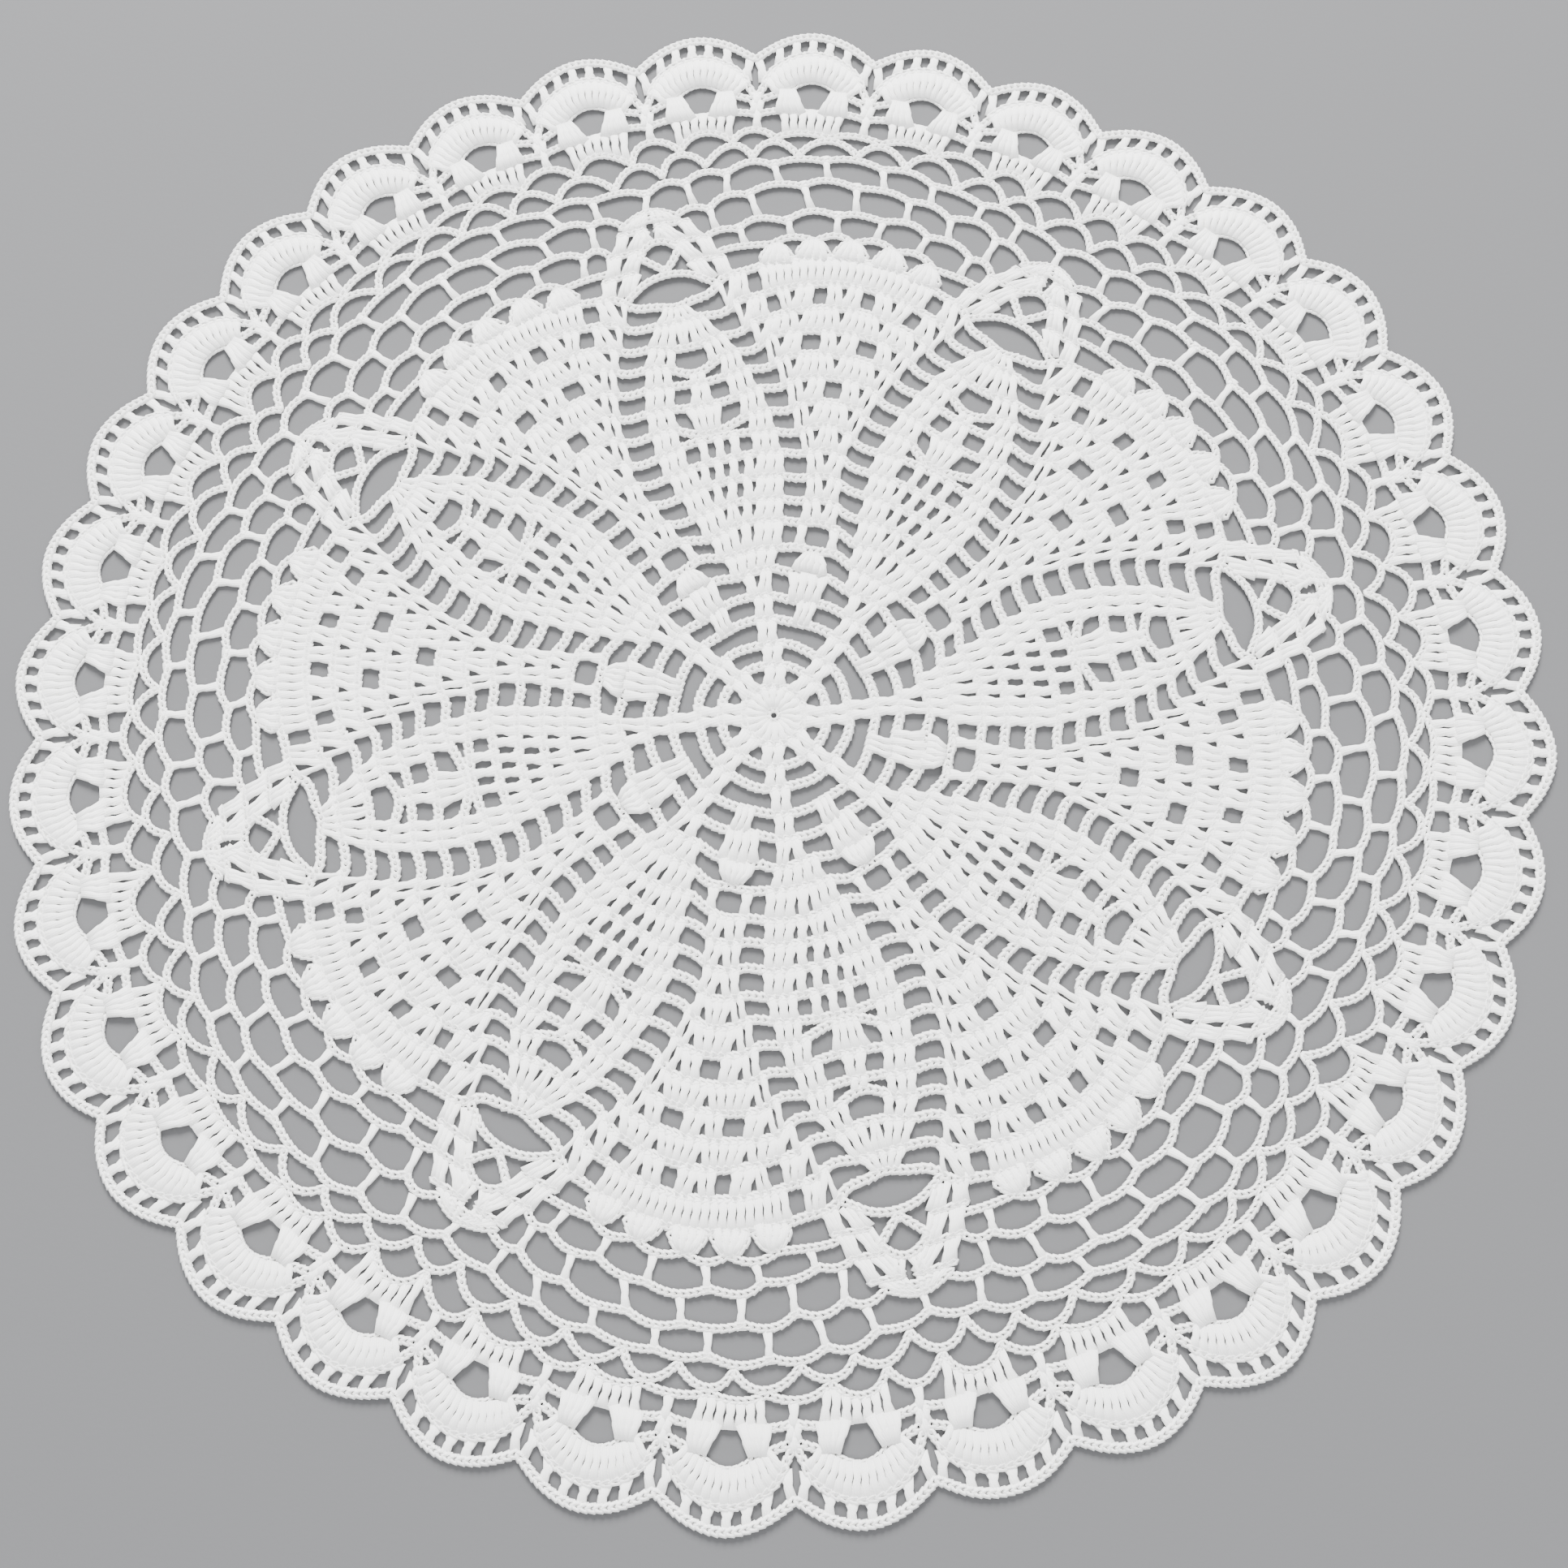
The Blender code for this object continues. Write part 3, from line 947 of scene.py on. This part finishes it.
LOOP_POSTS = (
    # short posts from the top of a loop to the ends of two loops of the next round
    ((-9.3, 0.6755), (-8.8, 0.7070)),
    ((-14.6, 0.6875), (-14.2, 0.7180)),
    ((-19.6, 0.6925), (-19.4, 0.7270)),
    ((9.9, 0.6735), (9.1, 0.7030)),
    ((15.4, 0.6860), (14.6, 0.7150)),
    ((20.5, 0.6935), (20.0, 0.7270)),
    ((-7.2, 0.7075), (-6.9, 0.7460)),
    ((-11.8, 0.7170), (-12.1, 0.7560)),
    ((-17.0, 0.7260), (-17.6, 0.7660)),
    ((6.7, 0.7015), (6.5, 0.7410)),
    ((11.7, 0.7125), (11.1, 0.7540)),
    ((17.0, 0.7270), (16.5, 0.7670)),
    ((22.4, 0.7310), (22.0, 0.7720)),
    ((-5.6, 0.7460), (-5.2, 0.7840)),
    ((-9.5, 0.7575), (-9.9, 0.7920)),
    ((-14.9, 0.7640), (-15.2, 0.7980)),
    ((-20.3, 0.7695), (-20.7, 0.8040)),
    ((4.9, 0.7460), (4.4, 0.7830)),
    ((9.1, 0.7535), (8.9, 0.7920)),
    ((14.2, 0.7655), (13.8, 0.8020)),
    ((19.4, 0.7715), (19.1, 0.8070)),
    ((-0.4, 0.7415), (-0.1, 0.7750)),
)


def loop_curve(start, top, end, steepness):
    """A loop of chain over its top, steeper at its two ends, as angles and reaches."""
    t = np.linspace(-1, 1, 15)
    half_span = np.where(t < 0, top[0] - start[0], end[0] - top[0])
    foot = np.where(t < 0, start[1], end[1])
    return top[0] + t * half_span, top[1] - (top[1] - foot) * np.abs(t) ** steepness


FISH_SCALES = 4  # the first round whose loops are joined straight to the tops below
brim = []
for leaf in range(LEAVES):
    for number, (end_turns, end_reaches, top_turns, top_reaches) in enumerate(NET_ROUNDS):
        steepness = 2.3 if number >= FISH_SCALES else 2.0
        ends = list(zip(end_turns, end_reaches))
        around = [(a + shift, r) for shift in (-REPEAT, 0, REPEAT) for a, r in ends]
        for top in zip(top_turns, top_reaches):
            start = max(place for place in around if place[0] < top[0])
            end = min(place for place in around if place[0] > top[0])
            loop = loop_curve(start, top, end, steepness)
            plait("net", leaf_place(leaf, *loop), width=0.95)
            if number == len(NET_ROUNDS) - 1:
                brim.append(leaf_chart(leaf, *loop))
    for foot, head in LOOP_POSTS:
        lay("net", POST, leaf_place(leaf, *foot), leaf_place(leaf, *head), 0.82, 0.9, 0.9)
brim_directions, brim_reaches = np.concatenate(brim, axis=1)
print(tally("net", LINK), "links and", tally("net", POST), "posts in the net")

# %% [markdown]
# ## The scallops
# Each scallop starts with a block of posts worked into one loop of the net. Two bells
# stand on it with a heart-shaped gap between them, a thick arch of posts goes over the
# heart, and a row of slim legs carries the scalloped rim. All thirty-six are alike, so
# one is charted from its middle line and worked again at every ten degrees. Only its
# lowest feet differ, because they follow the last chain of the net.

# %% Chart one scallop
def scallop_curve(number, places):
    return smooth(scallop_place(number, *np.transpose(places)))


BLOCK_FEET = np.linspace(-2.25, 2.25, 7)
BELL_FEET = np.array((2.9, 2.25, 1.6, 0.95))
BELL_HEADS = np.array((2.65, 2.4, 2.15, 1.9))
BELL_BOW = np.array((0.0003, 0.0001, -0.0001, -0.0003))
HEART = ((-2.6, 0.9020), (-1.9, 0.9120), (-1.0, 0.9220), (0, 0.9255))
ARCH_FEET = ((-3.2, 0.900), (-2.3, 0.909), (-1.2, 0.919), (0, 0.923))
ARCH_HEADS = ((-4.3, 0.920), (-3.9, 0.934), (-3.0, 0.948), (-1.6, 0.961), (0, 0.966))
RIM = ((-5.0, 0.9575), (-4.1, 0.9680), (-2.8, 0.9815), (-1.3, 0.9905), (0, 0.9935))
LEG_FEET = (
    (4.2, 0.925),
    (2.85, 0.949),
    (1.5, 0.960),
    (0.2, 0.964),
    (-1.1, 0.962),
    (-2.6, 0.951),
    (-4.1, 0.928),
)
LEG_HEADS = (
    (4.75, 0.957),
    (3.05, 0.978),
    (1.65, 0.988),
    (0.25, 0.992),
    (-1.2, 0.990),
    (-2.7, 0.981),
    (-4.55, 0.959),
)
SIDE_CHAINS = (
    ((2.4, 0.8765), (3.5, 0.8770), (4.7, 0.8730)),
    ((2.6, 0.9050), (3.6, 0.9010), (4.7, 0.8940)),
    ((4.2, 0.9200), (4.5, 0.9120), (4.8, 0.9020)),
)
KNOTS = (
    # the posts between two scallops: foot's degrees and reach, head's degrees and reach
    (4.75, 0.872, 4.8, 0.893),
    (5.25, 0.872, 5.2, 0.893),
    (5, 0.882, 5, 0.906),
)
ARCH_POSTS = 15
ARCH_DEGREE = 0.0165  # how long one degree of the arch is, as a share of the radius


def mirrored(places):
    """Both halves of a symmetrical line that is charted up to its middle."""
    return list(places) + [(-a, r) for a, r in reversed(places[:-1])]


def spread(places, count):
    """So many even spots along charted places."""
    line = np.asarray(places, float)
    steps = np.hypot(np.diff(line[:, 0]) * ARCH_DEGREE, np.diff(line[:, 1]))
    run = np.concatenate([[0], np.cumsum(steps)])
    where = (np.arange(count) + 0.5) / count * run[-1]
    return [np.interp(where, run, line[:, i]) for i in (0, 1)]


def brim_at(direction):
    """The reach of the net's outermost chain."""
    return np.interp(direction, brim_directions, brim_reaches, period=360)


print("one scallop is", round(1000 * RADIUS * radians(SCALLOP_TURN), 1), "mm wide")


# %% Work the scallops
def work_block(number):
    """The block of posts that starts a scallop."""
    feet = scallop_place(number, BLOCK_FEET, brim_at(SCALLOP_TURN * number + BLOCK_FEET))
    heads = scallop_place(number, BLOCK_FEET * 1.16, 0.8790)
    lay("bells", POST, feet, heads, 0.85, 1.05)


def work_bell(number, side):
    """The bell on one side of the heart, and the chains beside it."""
    feet = scallop_place(number, side * BELL_FEET, 0.8720)
    heads = scallop_place(number, side * BELL_HEADS, 0.9080)
    lay("bells", POST, feet, heads, 1.0, 0.8, 1.1, 0.0002, BELL_BOW * -side)
    for chain in SIDE_CHAINS:
        plait("bells", scallop_curve(number, [(side * a, r) for a, r in chain]))


def work_knots(number):
    """The posts that tie a scallop to the next one."""
    low_knot = (5, brim_at(SCALLOP_TURN * number + 5), 5, 0.8800)
    for foot_at, foot_reach, head_at, head_reach in (low_knot, *KNOTS):
        foot = scallop_place(number, foot_at, foot_reach)
        lay("bells", POST, foot, scallop_place(number, head_at, head_reach), 0.95, 1.1)


def work_rim(number):
    """The heart's edge, the thick arch over it, the slim legs and the rim."""
    plait("rims", scallop_curve(number, mirrored(HEART)), width=0.8, height=0.8)
    feet = scallop_place(number, *spread(mirrored(ARCH_FEET), ARCH_POSTS))
    heads = scallop_place(number, *spread(mirrored(ARCH_HEADS), ARCH_POSTS))
    lay("rims", POST, feet, heads, 0.62, 1.12, 1.0, 0.0002)
    plait("rims", scallop_curve(number, mirrored(ARCH_HEADS)), step=0.0018, lift=0.0002)
    feet = scallop_place(number, *np.transpose(LEG_FEET))
    heads = scallop_place(number, *np.transpose(LEG_HEADS))
    lay("rims", POST, feet, heads, 1.35, 0.85, 0.9)
    plait("rims", scallop_curve(number, mirrored(RIM)), width=1.12, lift=0.0002)


for number in range(SCALLOPS):
    work_block(number)
    work_bell(number, -1)
    work_bell(number, 1)
    work_knots(number)
    work_rim(number)
print(tally("bells", POST) + tally("rims", POST), "posts in the scallops")
print(sum(count for laid in work.values() for _, _, count in laid), "stitches in all")

# %% [markdown]
# ## Gather the stitches
# Each part becomes one closed mesh of many small closed loops. The arrays are written
# straight into the mesh, with the loops' own UVs copied along, so that the twist of the
# thread follows every strand.


# %% Make the meshes
def gather(part):
    """One mesh of all the stitches of a part."""
    points, corners, uvs = [], [], []
    offset = 0
    for stitch, laid, count in work[part]:
        size = len(stitch.points)
        starts = offset + size * np.arange(count)
        points.append(laid)
        corners.append((starts[:, None] + stitch.corners[None]).ravel())
        uvs.append(np.tile(stitch.uvs, count))
        offset += size * count
    points, corners, uvs = map(np.concatenate, (points, corners, uvs))
    mesh = bpy.data.meshes.new(part)
    mesh.vertices.add(len(points))
    mesh.vertices.foreach_set("co", points.astype(np.float32).ravel())
    mesh.loops.add(len(corners))
    mesh.loops.foreach_set("vertex_index", corners.astype(np.int32))
    faces = len(corners) // 4
    mesh.polygons.add(faces)
    mesh.polygons.foreach_set("loop_start", np.arange(faces, dtype=np.int32) * 4)
    mesh.polygons.foreach_set("use_smooth", np.ones(faces, bool))
    mesh.update(calc_edges=True)
    layer = mesh.uv_layers.new(name="thread")
    layer.data.foreach_set("uv", uvs.astype(np.float32))
    piece = bpy.data.objects.new(part, mesh)
    bpy.context.scene.collection.objects.link(piece)
    print(part, 2 * faces, "triangles, top", round(1000 * points[:, 2].max(), 2), "mm")
    return piece


pieces = {part: gather(part) for part in work}
print(2 * sum(len(piece.data.polygons) for piece in pieces.values()), "triangles in all")

# %% [markdown]
# ## Cotton
# Mercerised cotton is a clean, slightly warm white with a soft shine. Three things
# break it up close to: the twist of the plies, which runs slanting round each strand,
# fine fuzz, and the least change of tone from stitch to stitch. The twist follows the
# UVs of the loops, and the rest follows Object coordinates.


# %% Shader maths
class Socket:
    """A node's output that can be used in sums."""

    def __init__(self, tree, output):
        self.tree, self.output = tree, output

    def maths(self, operation, first, second):
        return node(self.tree, "ShaderNodeMath", {"operation": operation}, {0: first, 1: second})

    def __add__(self, other):
        return self.maths("ADD", self, other)

    __radd__ = __add__

    def __mul__(self, other):
        return self.maths("MULTIPLY", self, other)

    __rmul__ = __mul__

    def sine(self):
        return self.maths("SINE", self, 0.0)


def node(tree, kind, settings, sockets, output=0):
    """One node, with its settings made first and then its sockets set or linked."""
    made = tree.nodes.new(kind)
    for name, value in settings.items():
        setattr(made, name, value)
    for name, value in sockets.items():
        if isinstance(value, Socket):
            tree.links.new(value.output, made.inputs[name])
        else:
            made.inputs[name].default_value = value
    return Socket(tree, made.outputs[output])


# %% The cotton
def new_material(name, colour, roughness):
    material = bpy.data.materials.new(name)
    material.use_nodes = True
    material.diffuse_color = (*colour, 1.0)
    shader = material.node_tree.nodes["Principled BSDF"]
    shader.inputs["Base Color"].default_value = (*colour, 1.0)
    shader.inputs["Roughness"].default_value = roughness
    return material, material.node_tree, shader


SHADED = (0.86, 0.855, 0.835)
BRIGHT = (0.94, 0.935, 0.920)
TWIST_TURN = 6.2832  # one turn of the twist, in radians
cotton, tree, shader = new_material("white_cotton", SHADED, 0.72)
shader.inputs["Sheen Weight"].default_value = 0.25
shader.inputs["Sheen Roughness"].default_value = 0.4
spot = node(tree, "ShaderNodeTexCoord", {}, {}, "Object")
tone = node(tree, "ShaderNodeTexNoise", {}, {"Vector": spot, "Scale": 260.0, "Detail": 3.0})
fuzz = node(tree, "ShaderNodeTexNoise", {}, {"Vector": spot, "Scale": 4200.0, "Detail": 2.0})
thread = node(tree, "ShaderNodeUVMap", {"uv_map": "thread"}, {})
u = node(tree, "ShaderNodeSeparateXYZ", {}, {0: thread}, "X")
v = node(tree, "ShaderNodeSeparateXYZ", {}, {0: thread}, "Y")
twist = ((u * 14.0 + v * 2.0) * TWIST_TURN).sine()
colour = node(
    tree,
    "ShaderNodeMix",
    {"data_type": "RGBA"},
    {0: tone * 0.6 + fuzz * 0.4, 6: (*SHADED, 1.0), 7: (*BRIGHT, 1.0)},
    2,
)
tree.links.new(colour.output, shader.inputs["Base Color"])
bump = node(
    tree,
    "ShaderNodeBump",
    {},
    {"Height": twist * 0.5 + fuzz * 0.7, "Strength": 0.35, "Distance": 0.00012},
)
tree.links.new(bump.output, shader.inputs["Normal"])
for piece in pieces.values():
    piece.data.materials.append(cotton)
    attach(piece, "root")
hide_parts("doily")
print("cotton on", len(pieces), "pieces")

# %% [markdown]
# ## Floor, light and camera
# The doily lies on a plain pale floor. One broad soft light stands beyond its far edge
# and a weaker one fills from the near side, so each strand throws a short soft shadow
# towards the camera. The camera looks down steeply from the near side.

# %% The floor
clear_selection()
bpy.ops.mesh.primitive_plane_add(size=6.0, location=(0, 0, 0))
floor = bpy.context.active_object
floor.name = "floor"
paint, tree, shader = new_material("pale_floor", (0.10, 0.10, 0.103), 0.8)
spot = node(tree, "ShaderNodeTexCoord", {}, {}, "Object")
grain = node(tree, "ShaderNodeTexNoise", {}, {"Vector": spot, "Scale": 900.0, "Detail": 2.0})
bump = node(tree, "ShaderNodeBump", {}, {"Height": grain, "Strength": 0.1, "Distance": 0.0002})
tree.links.new(bump.output, shader.inputs["Normal"])
floor.data.materials.append(paint)
print("floor", floor.dimensions[0], "m")


# %% Soft lights
def soft_light(name, place, size, power):
    """A broad light aimed at the middle of the doily."""
    lamp = bpy.data.lights.new(name, "AREA")
    lamp.shape = "DISK"
    lamp.size = size
    lamp.energy = power
    light = bpy.data.objects.new(name, lamp)
    bpy.context.scene.collection.objects.link(light)
    light.location = place
    light.rotation_euler = (-Vector(place)).to_track_quat("-Z", "Y").to_euler()
    return light


soft_light("window", (-0.25, 1.35, 1.15), 0.8, 120.0)
soft_light("fill", (0.5, -1.2, 1.6), 1.4, 34.0)
world = bpy.data.worlds.new("room")
world.use_nodes = True
world.node_tree.nodes["Background"].inputs["Color"].default_value = (0.95, 0.97, 1.0, 1.0)
world.node_tree.nodes["Background"].inputs["Strength"].default_value = 1.4
bpy.context.scene.world = world
print("lights set")

# %% The camera
lens = bpy.data.cameras.new("camera")
lens.lens = 46.58
lens.sensor_width = 36.0
camera = bpy.data.objects.new("camera", lens)
bpy.context.scene.collection.objects.link(camera)
SEEN_AT = (-0.013, 0.087, -2.618)  # the doily's middle from the camera, in radii
turn = Matrix.Rotation(radians(-1.03), 4, "Y") @ Matrix.Rotation(radians(-14.55), 4, "X")
turn = turn @ Matrix.Rotation(radians(-3.13), 4, "Z")
to_camera = Matrix.Translation(Vector(SEEN_AT) * RADIUS) @ turn
camera.matrix_world = Matrix.Translation((MIDDLE[0], MIDDLE[1], 0)) @ to_camera.inverted()
bpy.context.scene.camera = camera
print("camera at", [round(x, 3) for x in camera.matrix_world.translation])
